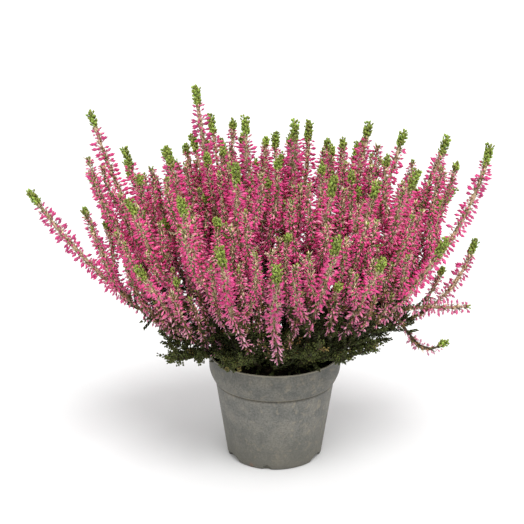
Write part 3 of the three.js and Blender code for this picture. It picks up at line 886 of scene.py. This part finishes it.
# Colours from the foot of a bud to its tip.
YOUNG_BUD = (
    (0.0, (0.56, 0.42, 0.3)), (0.26, (0.8, 0.58, 0.52)), (0.42, (0.84, 0.16, 0.34)),
    (0.7, (0.76, 0.04, 0.205)), (1.0, (0.62, 0.032, 0.16)),
)
OLD_BUD = (
    (0.0, (0.3, 0.24, 0.14)), (0.4, (0.6, 0.23, 0.33)), (0.7, (0.57, 0.19, 0.3)), (1.0, (0.9, 0.72, 0.7)),
)
# Pale buds, mixed in only at the highest tones, which lie in the dense middle: partly pale buds and partly a
# painted highlight.
PALE_BUD = ((0.0, (0.6, 0.45, 0.3)), (0.4, (0.84, 0.46, 0.54)), (1.0, (0.9, 0.66, 0.68)))


def bud_material():
    graph = Graph("heather_bud", roughness=0.36, specular=0.5)
    along, tone, age = graph.paint()
    colour = graph.mix(age, graph.ramp(along, OLD_BUD), graph.ramp(along, YOUNG_BUD))
    # Pale buds and painted highlights at the highest tones, in the dense middle.
    pale_highlight_share = graph.rescale(tone, 0.0, 0.6, start=0.86)
    colour = graph.mix(pale_highlight_share, colour, graph.ramp(along, PALE_BUD))
    # Painted light: the tone lightens buds in the dense middle against their shade and darkens those in the
    # open, as well as varying at random.
    colour = graph.shift(colour, graph.rescale(tone, 0.487, 0.494), graph.rescale(tone, 0.56, 1.36))
    graph.feed("Base Color", colour)
    return graph.material


# Colours of leaves from dark green through dry and pale ones between the flowers to the light
# green tips, and painted light on each leaf: painted shade at its foot and a painted highlight at its end.
LEAF_TINTS = (
    (0.0, (0.045, 0.055, 0.016)), (0.25, (0.1, 0.12, 0.03)), (0.4, (0.31, 0.18, 0.065)),
    (0.49, (0.66, 0.45, 0.26)), (0.57, (0.96, 0.76, 0.54)), (0.66, (0.36, 0.35, 0.13)),
    (0.78, (0.2, 0.285, 0.055)), (1.0, (0.35, 0.45, 0.09)),
)
LEAF_SHADE_TO_HIGHLIGHT = ((0.0, (0.4, 0.4, 0.4)), (0.5, (0.85, 0.85, 0.85)), (1.0, (1.1, 1.1, 1.0)))


def leaf_material():
    graph = Graph("heather_leaf", roughness=0.6, specular=0.2)
    along, tone, age = graph.paint()
    # Painted shade at each leaf's foot and a painted highlight at its end.
    colour = graph.mix(1.0, graph.ramp(age, LEAF_TINTS), graph.ramp(along, LEAF_SHADE_TO_HIGHLIGHT), "MULTIPLY")
    colour = graph.shift(colour, graph.rescale(tone, 0.475, 0.515), graph.rescale(tone, 0.65, 1.35))
    graph.feed("Base Color", colour)
    return graph.material


# Colours of stems from old to young, and of the green patches on them.
BARK = ((0.0, (0.03, 0.02, 0.012)), (0.35, (0.15, 0.085, 0.05)), (1.0, (0.66, 0.48, 0.32)))
OLD_GREEN = (0.04, 0.06, 0.015, 1.0)
YOUNG_GREEN = (0.34, 0.36, 0.17, 1.0)


def stem_material():
    graph = Graph("heather_stem", roughness=0.65, specular=0.3)
    _, _, age = graph.paint()
    green = graph.mix(graph.rescale(age, 0.1, 1.0), OLD_GREEN, YOUNG_GREEN)
    patches = graph.rescale(graph.noise(500.0), 0.0, 0.8, start=0.5, end=0.6)
    colour = graph.mix(patches, graph.ramp(age, BARK), green)
    streaks = graph.noise(900.0)
    graph.feed("Base Color", graph.shift(colour, 0.5, graph.rescale(streaks, 0.6, 1.4, start=0.3, end=0.7)))
    graph.bump(streaks, strength=0.4, distance=0.0003)
    return graph.material


CRUMBLY = ((0.35, (0.006, 0.004, 0.003)), (0.55, (0.02, 0.013, 0.008)), (0.75, (0.06, 0.04, 0.025)))


def peat_material():
    graph = Graph("peat_soil", roughness=0.95, specular=0.1)
    crumbs = graph.noise(420.0, detail=6.0)
    graph.feed("Base Color", graph.ramp(crumbs, CRUMBLY))
    graph.bump(crumbs, strength=0.8, distance=0.0012)
    return graph.material


PLASTIC = ((0.34, (0.13, 0.131, 0.12)), (0.5, (0.158, 0.156, 0.14)), (0.66, (0.195, 0.187, 0.162)))
DUST = Values(colour=(0.32, 0.28, 0.21, 1.0), most=0.55, span=(0.6, 0.74), more=0.07, left=-30, right=55)
SCUFF = Values(place=(40.4, -118, 2.5), radius=2.2, core=0.6, colour=(0.36, 0.15, 0.09, 1.0), most=0.8)
# Dirt and painted shade in the crease under the rim band's step, from below the step to above it, with a
# painted highlight on the band's lower edge, and the band above it darker.
CREASE = Values(below=4, above=1)
CREASE_DIRT_SHADE_HIGHLIGHT = (
    (0.2, (1, 1, 1)), (0.62, (0.45, 0.42, 0.38)), (0.8, (0.3, 0.28, 0.25)), (0.84, (1.2, 1.15, 1.0)),
    (1.0, (0.82, 0.82, 0.81)),
)
# The pot is darker and yellower towards the bottom.
DARKER_LOW = Values(colour=(0.115, 0.11, 0.088, 1.0), most=0.75, height=45)
# A painted highlight along the top of the lip.
LIP_HIGHLIGHT = Values(colour=(0.36, 0.33, 0.25, 1.0), most=0.8, from_top=(1.1, 0.5))


def dusty_plastic(graph, sideways, dirt, fine):
    """Cloudy plastic with fine grain, and dust that grows denser to the right."""
    colour = graph.ramp(graph.noise(75.0, detail=9.0), PLASTIC)
    colour = graph.shift(colour, 0.5, graph.rescale(fine, 0.75, 1.25, start=0.3, end=0.7))
    reach = graph.rescale(sideways, 0.0, DUST.more, DUST.left * MM, DUST.right * MM)
    dusty = graph.node("ShaderNodeMath", {0: dirt, 1: reach}, operation="ADD").outputs[0]
    return graph.mix(graph.rescale(dusty, 0.0, DUST.most, *DUST.span), colour, DUST.colour)


def with_scuff(graph, colour):
    """A reddish scuff on the base edge."""
    middle = {0: graph.place(), 1: polar(*SCUFF.place) * MM}
    away = graph.node("ShaderNodeVectorMath", middle, operation="DISTANCE").outputs["Value"]
    share = graph.rescale(away, SCUFF.most, 0.0, SCUFF.radius * MM * SCUFF.core, SCUFF.radius * MM)
    return graph.mix(share, colour, SCUFF.colour)


def with_bands(graph, colour, height):
    """What changes with the height: dirt and painted shade in the crease, with a painted highlight on the
    band's lower edge and the band darker, the pot darker towards the bottom, and a painted highlight on the
    lip.
    """
    step = (POT_HEIGHT - POT.band) * MM
    share = graph.rescale(height, 0.0, 1.0, step - CREASE.below * MM, step + CREASE.above * MM)
    # Dirt and painted shade in the crease, a painted highlight on the band's lower edge, and the band darker.
    colour = graph.mix(1.0, colour, graph.ramp(share, CREASE_DIRT_SHADE_HIGHLIGHT), "MULTIPLY")
    # Darker and yellower towards the bottom.
    colour = graph.mix(graph.rescale(height, DARKER_LOW.most, 0.0, 0.0, DARKER_LOW.height * MM), colour, DARKER_LOW.colour)
    # A painted highlight along the top of the lip.
    low, high = [(POT_HEIGHT - down) * MM for down in LIP_HIGHLIGHT.from_top]
    return graph.mix(graph.rescale(height, 0.0, LIP_HIGHLIGHT.most, low, high), colour, LIP_HIGHLIGHT.colour)


def pot_material():
    graph = Graph("pot_plastic", roughness=0.62, specular=0.3)
    split = graph.node("ShaderNodeSeparateXYZ", {0: graph.place()})
    sideways, height = split.outputs[0], split.outputs[2]
    fine, dirt = graph.noise(700.0, detail=4.0), graph.noise(230.0, detail=9.0)
    colour = with_scuff(graph, dusty_plastic(graph, sideways, dirt, fine))
    graph.feed("Base Color", with_bands(graph, colour, height))
    graph.feed("Roughness", graph.rescale(dirt, 0.5, 0.8))
    graph.bump(fine, strength=0.3, distance=0.0003)
    return graph.material


# ---- pot and peat
# Sides and arcs are counts, and the mouth and what counts as sharp are angles in degrees.
POT = Values(
    sides=144, band=24, straight=11, step=0.9, neck=49.9, base=40.4, base_round=2.0, wall=1.3, lip_wall=1.9,
    floor=1.6, arc=5, band_arc=8, sharp=35, step_inset=0.2, step_drop=0.1, mouth=95, past_lip=1,
)
# Balls that scoop the base edge: three drainage recesses and three notches that open into the pot.
RECESS = Values(radius=12.5, out=43, up=-7, azimuths=(-29, -149, 91))
NOTCH = Values(radius=5, out=42.5, up=0, azimuths=(-99, 21, 141))
BALL = Values(around=48, down=24)
FIT_GAP = 0.3  # between the peat and the pot
PEAT_LOOK = Values(under_step=1, rings=26, rough=0.55, flat_edge=0.2)
CRUMBS = Values(count=600, inset=3, length=(1.0, 3.6), slimmest=(1.0, 0.35, 0.3), fullest=(1.0, 0.6, 0.55))


def arc(centre_radius, centre_height, radius, first, last, steps):
    """Profile points on an arc, between two angles in degrees from straight out."""
    angles = np.radians(np.linspace(first, last, steps + 1))
    return [(centre_radius + radius * math.cos(a), centre_height + radius * math.sin(a)) for a in angles]


def band_curve(inset):
    """The rim band from its step up to where it is plumb."""
    foot = POT.neck + POT.step
    low, plumb = POT_HEIGHT - POT.band, POT_HEIGHT - POT.straight
    shares = np.linspace(0, 1, POT.band_arc + 1)
    return [(lerp(foot, RIM_RADIUS, math.sin(s * math.pi / 2)) - inset, lerp(low, plumb, s)) for s in shares]


def pot_outside():
    """Outline of the pot without its hollow, from the middle of the underside to that of the top."""
    step_height = POT_HEIGHT - POT.band
    lip = POT.lip_wall / 2
    points = [(0.0, 0.0)]
    points += arc(POT.base - POT.base_round, POT.base_round, POT.base_round, -90, 0, POT.arc)
    points += [(POT.neck, step_height - POT.step_drop)]
    points += [(POT.neck + POT.step - POT.step_inset, step_height)]
    points += band_curve(0)[1:]
    return points + arc(RIM_RADIUS - lip, POT_HEIGHT - lip, lip, 0, 90, POT.arc) + [(0.0, POT_HEIGHT)]


def pot_hollow():
    """Outline of the hollow. Its mouth flares round the inner edge of the lip."""
    step_height = POT_HEIGHT - POT.band
    lip = POT.lip_wall / 2
    foot = POT.base - POT.wall
    points = [(0.0, POT.floor), (foot - POT.base_round, POT.floor), (foot, POT.floor + POT.base_round)]
    points += [(POT.neck - POT.wall, step_height - POT.wall)]
    points += band_curve(POT.lip_wall)[1:]
    points += arc(RIM_RADIUS - lip, POT_HEIGHT - lip, lip, 180, POT.mouth, POT.arc)
    top = POT_HEIGHT + POT.past_lip
    return points + [(RIM_RADIUS - lip, top), (0.0, top)]


def turned(profile):
    """Closed triangles of a profile turned about Z. It starts and ends on the axis."""
    rings = np.array(profile[1:-1])
    angles = ring_angles(POT.sides)
    x = rings[:, 0, None] * np.cos(angles)
    y = rings[:, 0, None] * np.sin(angles)
    z = np.repeat(rings[:, 1, None], POT.sides, axis=1)
    points = np.stack([x, y, z], axis=2).reshape(-1, 3)
    ends = [[0, 0, profile[0][1]], [0, 0, profile[-1][1]]]
    return np.concatenate([points, ends]), tube_faces(len(rings), POT.sides)


def cut(piece, tool):
    """Cuts a tool out of a piece, and removes the tool."""
    change = piece.modifiers.new("cut", "BOOLEAN")
    change.operation = "DIFFERENCE"
    change.solver = "EXACT"
    change.object = tool
    bpy.context.view_layer.objects.active = piece
    bpy.ops.object.modifier_apply(modifier=change.name)
    bpy.data.objects.remove(tool)


def cut_balls(piece, scoop, grown):
    for azimuth in scoop.azimuths:
        bpy.ops.mesh.primitive_uv_sphere_add(
            segments=BALL.around, ring_count=BALL.down, radius=(scoop.radius + grown) * MM,
            location=polar(scoop.out, azimuth, scoop.up) * MM,
        )
        cut(piece, bpy.context.object)


def plain_skin(points, faces):
    """A skin with the same paint all over, for materials that don't read it."""
    skin = Skin()
    skin.add(points, faces, np.tile([0.0, 0.0, 1.0], (len(points), 1)))
    return skin


def make_pot():
    """The pot's wall stays equally thick round the recesses, and the notches open into it."""
    piece = make_mesh("pot_shell", plain_skin(*turned(pot_outside())))
    hollow = make_mesh("pot_hollow", plain_skin(*turned(pot_hollow())))
    cut_balls(piece, RECESS, 0)
    cut_balls(hollow, RECESS, POT.wall)
    cut(piece, hollow)
    cut_balls(piece, NOTCH, 0)
    declare(piece, pot_material(), "pot_plastic", "pot")
    piece.data.set_sharp_from_angle(angle=math.radians(POT.sharp))


def peat_outline():
    """From the middle of its underside, up the wall and over its crown."""
    inset = POT.wall + FIT_GAP
    low = [(0.0, POT.floor + FIT_GAP), (POT.base - POT.base_round - inset, POT.floor + FIT_GAP)]
    low += [(POT.base - inset, POT.floor + POT.base_round)]
    low += [(POT.neck - inset, POT_HEIGHT - POT.band - PEAT_LOOK.under_step)]
    radii = PEAT.edge_radius * np.linspace(1, 0, PEAT_LOOK.rings)
    return low + [(radius, peat_height(radius)) for radius in radii]


def make_peat():
    rng = np.random.default_rng(SEED + 1)
    points, faces = turned(peat_outline())
    top = points[:, 2] > PEAT.edge + PEAT_LOOK.flat_edge
    points[:, 2] += rng.normal(0, PEAT_LOOK.rough, len(points)) * top
    skin = plain_skin(points, faces)
    add_crumbs(skin, rng)
    piece = make_mesh("peat_fill", skin)
    cut_balls(piece, RECESS, POT.wall + FIT_GAP)
    declare(piece, peat_material(), "peat", "peat")


def add_crumbs(skin, rng):
    """Loose crumbs of peat of many sizes, half sunk into its surface."""
    count = CRUMBS.count
    radius = (PEAT.edge_radius - CRUMBS.inset) * np.sqrt(rng.random(count))
    angle = rng.uniform(0, TURN, count)
    places = np.stack([radius * np.cos(angle), radius * np.sin(angle), peat_height(radius)], axis=1)
    direction = unit(rng.normal(0, 1, (count, 3)))
    size = rng.uniform(*CRUMBS.length, count)[:, None]
    sizes = size * rng.uniform(CRUMBS.slimmest, CRUMBS.fullest, (count, 3))
    places = places - direction * size / 2
    frames = frames_along(direction, unit(rng.normal(0, 1, (count, 3))))
    skin.copies(CRUMB, places, frames, sizes, rng.random(count), np.ones(count))


# ---- the stage
# The camera is in front, this many degrees above the pot's foot. Its focal length is in pixels of an
# image this wide.
IMAGE_WIDTH = 524
FOCAL_PIXELS = 1146
CAMERA = Values(distance=1.0, elevation=27.4, pitch=18.2, yaw=-0.69, sensor=36)
FLOOR = Values(size=30, colour=(0.8, 0.8, 0.8, 1))
WORLD_STRENGTH = 0.95
SUN = Values(strength=2.1, angle=32, comes_from=(0.17, -0.45, 1.0))


def make_camera():
    rise = math.radians(CAMERA.elevation)
    data = bpy.data.cameras.new("camera")
    data.sensor_width = CAMERA.sensor
    data.lens = CAMERA.sensor * (FOCAL_PIXELS / IMAGE_WIDTH)
    camera = bpy.data.objects.new("camera", data)
    camera.location = (0, -CAMERA.distance * math.cos(rise), CAMERA.distance * math.sin(rise))
    camera.rotation_euler = (math.radians(90 - CAMERA.pitch), 0, math.radians(-CAMERA.yaw))
    bpy.context.scene.collection.objects.link(camera)
    bpy.context.scene.camera = camera


def make_floor():
    bpy.ops.mesh.primitive_plane_add(size=FLOOR.size)
    floor = bpy.context.object
    floor.name = "floor"
    graph = Graph("floor_paper", roughness=0.9, specular=0.0)
    graph.shader.inputs["Base Color"].default_value = FLOOR.colour
    floor.data.materials.append(graph.material)


def make_light_room():
    """White light from all sides, and a wide soft light from above and a little in front."""
    world = bpy.data.worlds.new("studio")
    world.use_nodes = True
    background = world.node_tree.nodes["Background"]
    background.inputs["Color"].default_value = (1, 1, 1, 1)
    background.inputs["Strength"].default_value = WORLD_STRENGTH
    bpy.context.scene.world = world
    bpy.context.scene.view_settings.view_transform = "Standard"
    data = bpy.data.lights.new("softbox", "SUN")
    data.energy = SUN.strength
    data.angle = math.radians(SUN.angle)
    light = bpy.data.objects.new("softbox", data)
    light.rotation_euler = Vector(SUN.comes_from).to_track_quat("Z", "Y").to_euler()
    bpy.context.scene.collection.objects.link(light)


# ---- the whole plant
def dress_plant(shoots):
    """Every shoot's node gets a piece for its stems and one for its leaves, and a flowering shoot's node also
    one for its buds.
    """
    materials = Values(stems=stem_material(), leaves=leaf_material(), buds=bud_material())
    slots = Values(stems="stems", leaves="foliage", buds="buds")
    counts = {"leafy": 0, "flowering": 0}
    for index, shoot in enumerate(shoots):
        kind = "leafy" if shoot.leafy else "flowering"
        counts[kind] += 1
        node = f"{kind}_shoot_{counts[kind]:02d}"
        parts = Values(stems=Skin(), leaves=Skin(), buds=Skin())
        dress = dress_leafy if shoot.leafy else dress_flowering
        dress(shoot, parts, np.random.default_rng([SEED, index]))
        for part in ("stems", "leaves") if shoot.leafy else ("stems", "leaves", "buds"):
            piece = make_mesh(f"{node}_{part}", getattr(parts, part))
            declare(piece, getattr(materials, part), getattr(slots, part), node)


make_camera()
make_light_room()
make_floor()
shoots = all_shoots()
plant(shoots)
bend_clear(shoots)
axes = add_solid_twigs(shoots)
add_extra_twigs(shoots, axes)
dress_plant(shoots)
make_pot()
make_peat()
